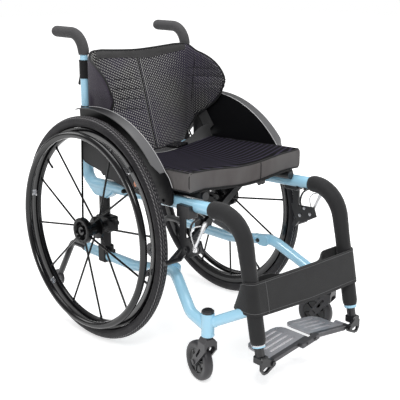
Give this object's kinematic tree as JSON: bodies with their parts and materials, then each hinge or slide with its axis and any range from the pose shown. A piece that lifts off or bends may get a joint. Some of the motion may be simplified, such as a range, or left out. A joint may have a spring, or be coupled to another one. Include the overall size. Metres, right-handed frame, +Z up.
{
  "type": "wheelchair",
  "caption": "Folding active wheelchair with a bent-tube side frame, spoked cambered drive wheels, hand rims, casters, mesh seat and back, foot plates and anti-tippers.",
  "frame": {"origin": "On the floor under the middle of the chair's bounding box.", "axes": "+X is the sitter's left, -Y the way the sitter faces, +Z up; the chair is unfolded with its casters trailing."},
  "size_m": [0.5828, 0.877, 0.8153],
  "materials": {
    "frame_blue": "smooth gloss light blue paint on tube",
    "black_metal": "satin black coated metal",
    "foam_black": "matt black foam sleeve",
    "grip_grey": "soft matt grey foam grip",
    "tyre_black": "black tyre with a fine tread",
    "caster_black": "smooth black solid tyre",
    "fabric_black": "black spacer mesh and webbing",
    "plate_silver": "satin silver slotted plate",
    "steel": "bright turned steel",
    "guard_black": "black moulded plastic"
  },
  "bodies": {
    "left_frame": {"left_side_frame": "frame_blue", "left_lower_frame": "frame_blue", "left_leg_sleeve": "foam_black", "left_rail_rest": "black_metal", "left_axle_post": "black_metal", "left_axle_clamp": "black_metal", "left_back_cane": "frame_blue", "left_push_grip": "grip_grey", "left_side_guard": "guard_black", "left_axle_pin": "steel", "left_caster_cap": "black_metal", "left_brake_bracket": "black_metal", "left_foot_bracket": "black_metal", "backrest": "fabric_black", "calf_strap": "fabric_black"},
    "right_frame": {"right_side_frame": "frame_blue", "right_lower_frame": "frame_blue", "right_leg_sleeve": "foam_black", "right_rail_rest": "black_metal", "right_axle_post": "black_metal", "right_axle_clamp": "black_metal", "right_back_cane": "frame_blue", "right_push_grip": "grip_grey", "right_side_guard": "guard_black", "right_axle_pin": "steel", "right_caster_cap": "black_metal", "right_brake_bracket": "black_metal", "right_foot_bracket": "black_metal"},
    "left_cross": {"left_cross_member": "black_metal", "cross_pivot_bolt": "steel"},
    "right_cross": {"right_cross_member": "black_metal", "seat_sling": "fabric_black", "seat_cushion": "fabric_black", "lap_belt": "fabric_black"},
    "left_foot_plate": {"left_foot_plate": "plate_silver"},
    "left_wheel": {"left_rear_tyre": "tyre_black", "left_rear_rim": "black_metal", "left_spoked_hub": "black_metal", "left_hand_rim": "black_metal"},
    "left_button": {"left_release_button": "steel"},
    "left_caster_fork": {"left_caster_fork": "black_metal"},
    "left_caster_wheel": {"left_caster_tyre": "caster_black", "left_caster_hub": "black_metal"},
    "left_brake_lever": {"left_brake_lever": "steel"},
    "left_brake_shoe": {"left_brake_shoe": "black_metal"},
    "left_anti_tipper": {"left_anti_tip_tube": "black_metal"},
    "left_anti_tip_wheel": {"left_anti_tip_wheel": "caster_black"},
    "right_foot_plate": {"right_foot_plate": "plate_silver"},
    "right_wheel": {"right_rear_tyre": "tyre_black", "right_rear_rim": "black_metal", "right_spoked_hub": "black_metal", "right_hand_rim": "black_metal"},
    "right_button": {"right_release_button": "steel"},
    "right_caster_fork": {"right_caster_fork": "black_metal"},
    "right_caster_wheel": {"right_caster_tyre": "caster_black", "right_caster_hub": "black_metal"},
    "right_brake_lever": {"right_brake_lever": "steel"},
    "right_brake_shoe": {"right_brake_shoe": "black_metal"},
    "right_anti_tipper": {"right_anti_tip_tube": "black_metal"},
    "right_anti_tip_wheel": {"right_anti_tip_wheel": "caster_black"}
  },
  "joints": [
    {"name": "fold", "type": "hinge", "parent": "left_frame", "child": "left_cross", "pos_m": [0.155, -0.0515, 0.225], "axis": [0, 1, 0], "range_deg": [0, 37], "deforming": ["seat_cushion", "seat_sling", "backrest", "lap_belt", "calf_strap"]},
    {"name": "cross_scissor", "type": "hinge", "parent": "left_cross", "child": "right_cross", "pos_m": [0, -0.0595, 0.32915], "axis": [0, 1, 0], "range_deg": [-74, 0]},
    {"name": "right_frame_fold", "type": "hinge", "parent": "right_cross", "child": "right_frame", "pos_m": [-0.155, -0.0675, 0.225], "axis": [0, 1, 0], "range_deg": [0, 37]},
    {"name": "left_foot_plate_fold", "type": "hinge", "parent": "left_frame", "child": "left_foot_plate", "pos_m": [0.147, -0.4105, 0.0775], "axis": [0, 1, 0], "range_deg": [0, 84]},
    {"name": "left_wheel_spin", "type": "hinge", "parent": "left_frame", "child": "left_wheel", "pos_m": [0.2445, 0.1385, 0.29996], "axis": [0.9998, 0, 0.0174], "continuous": true},
    {"name": "left_button_press", "type": "slide", "parent": "left_frame", "child": "left_button", "axis": [-0.9998, 0, -0.0174], "range_m": [0, 0.004], "stiffness_N_per_m": 300, "springref_m": -0.001},
    {"name": "left_caster_swivel", "type": "hinge", "parent": "left_frame", "child": "left_caster_fork", "pos_m": [0.229, -0.2915, 0.129], "axis": [0, 0, 1], "continuous": true},
    {"name": "left_caster_spin", "type": "hinge", "parent": "left_caster_fork", "child": "left_caster_wheel", "pos_m": [0.2211, -0.25433, 0.05], "axis": [0.9781, 0.2079, 0], "continuous": true},
    {"name": "left_brake_pull", "type": "hinge", "parent": "left_frame", "child": "left_brake_lever", "pos_m": [0.2143, -0.2345, 0.328], "axis": [1, 0, 0], "range_deg": [0, 45]},
    {"name": "left_shoe_swing", "type": "hinge", "parent": "left_frame", "child": "left_brake_shoe", "pos_m": [0.2113, -0.1995, 0.318], "axis": [1, 0, 0], "range_deg": [0, 17]},
    {"name": "left_anti_tip_turn", "type": "hinge", "parent": "left_frame", "child": "left_anti_tipper", "pos_m": [0.181, 0.2445, 0.206], "axis": [0, 1, 0], "range_deg": [0, 180]},
    {"name": "left_anti_tip_spin", "type": "hinge", "parent": "left_anti_tipper", "child": "left_anti_tip_wheel", "pos_m": [0.181, 0.4005, 0.075], "axis": [1, 0, 0], "continuous": true},
    {"name": "right_foot_plate_fold", "type": "hinge", "parent": "right_frame", "child": "right_foot_plate", "pos_m": [-0.147, -0.4105, 0.0775], "axis": [0, 1, 0], "range_deg": [-84, 0]},
    {"name": "right_wheel_spin", "type": "hinge", "parent": "right_frame", "child": "right_wheel", "pos_m": [-0.2445, 0.1385, 0.29996], "axis": [-0.9998, 0, 0.0174], "continuous": true},
    {"name": "right_button_press", "type": "slide", "parent": "right_frame", "child": "right_button", "axis": [0.9998, 0, -0.0174], "range_m": [0, 0.004], "stiffness_N_per_m": 300, "springref_m": -0.001},
    {"name": "right_caster_swivel", "type": "hinge", "parent": "right_frame", "child": "right_caster_fork", "pos_m": [-0.229, -0.2915, 0.129], "axis": [0, 0, 1], "continuous": true},
    {"name": "right_caster_spin", "type": "hinge", "parent": "right_caster_fork", "child": "right_caster_wheel", "pos_m": [-0.2211, -0.25433, 0.05], "axis": [0.9781, -0.2079, 0], "continuous": true},
    {"name": "right_brake_pull", "type": "hinge", "parent": "right_frame", "child": "right_brake_lever", "pos_m": [-0.2143, -0.2345, 0.328], "axis": [1, 0, 0], "range_deg": [0, 45]},
    {"name": "right_shoe_swing", "type": "hinge", "parent": "right_frame", "child": "right_brake_shoe", "pos_m": [-0.2113, -0.1995, 0.318], "axis": [1, 0, 0], "range_deg": [0, 17]},
    {"name": "right_anti_tip_turn", "type": "hinge", "parent": "right_frame", "child": "right_anti_tipper", "pos_m": [-0.181, 0.2445, 0.206], "axis": [0, -1, 0], "range_deg": [0, 180]},
    {"name": "right_anti_tip_spin", "type": "hinge", "parent": "right_anti_tipper", "child": "right_anti_tip_wheel", "pos_m": [-0.181, 0.4005, 0.075], "axis": [1, 0, 0], "continuous": true}
  ],
  "couplings": [
    {"joint": "cross_scissor", "follows": "fold", "ratio": -2},
    {"joint": "right_frame_fold", "follows": "fold", "ratio": 1},
    {"joint": "left_foot_plate_fold", "follows": "fold", "ratio": 2.25},
    {"joint": "left_shoe_swing", "follows": "left_brake_pull", "ratio": 0.3777},
    {"joint": "right_foot_plate_fold", "follows": "fold", "ratio": -2.25},
    {"joint": "right_shoe_swing", "follows": "right_brake_pull", "ratio": 0.3777}
  ]
}
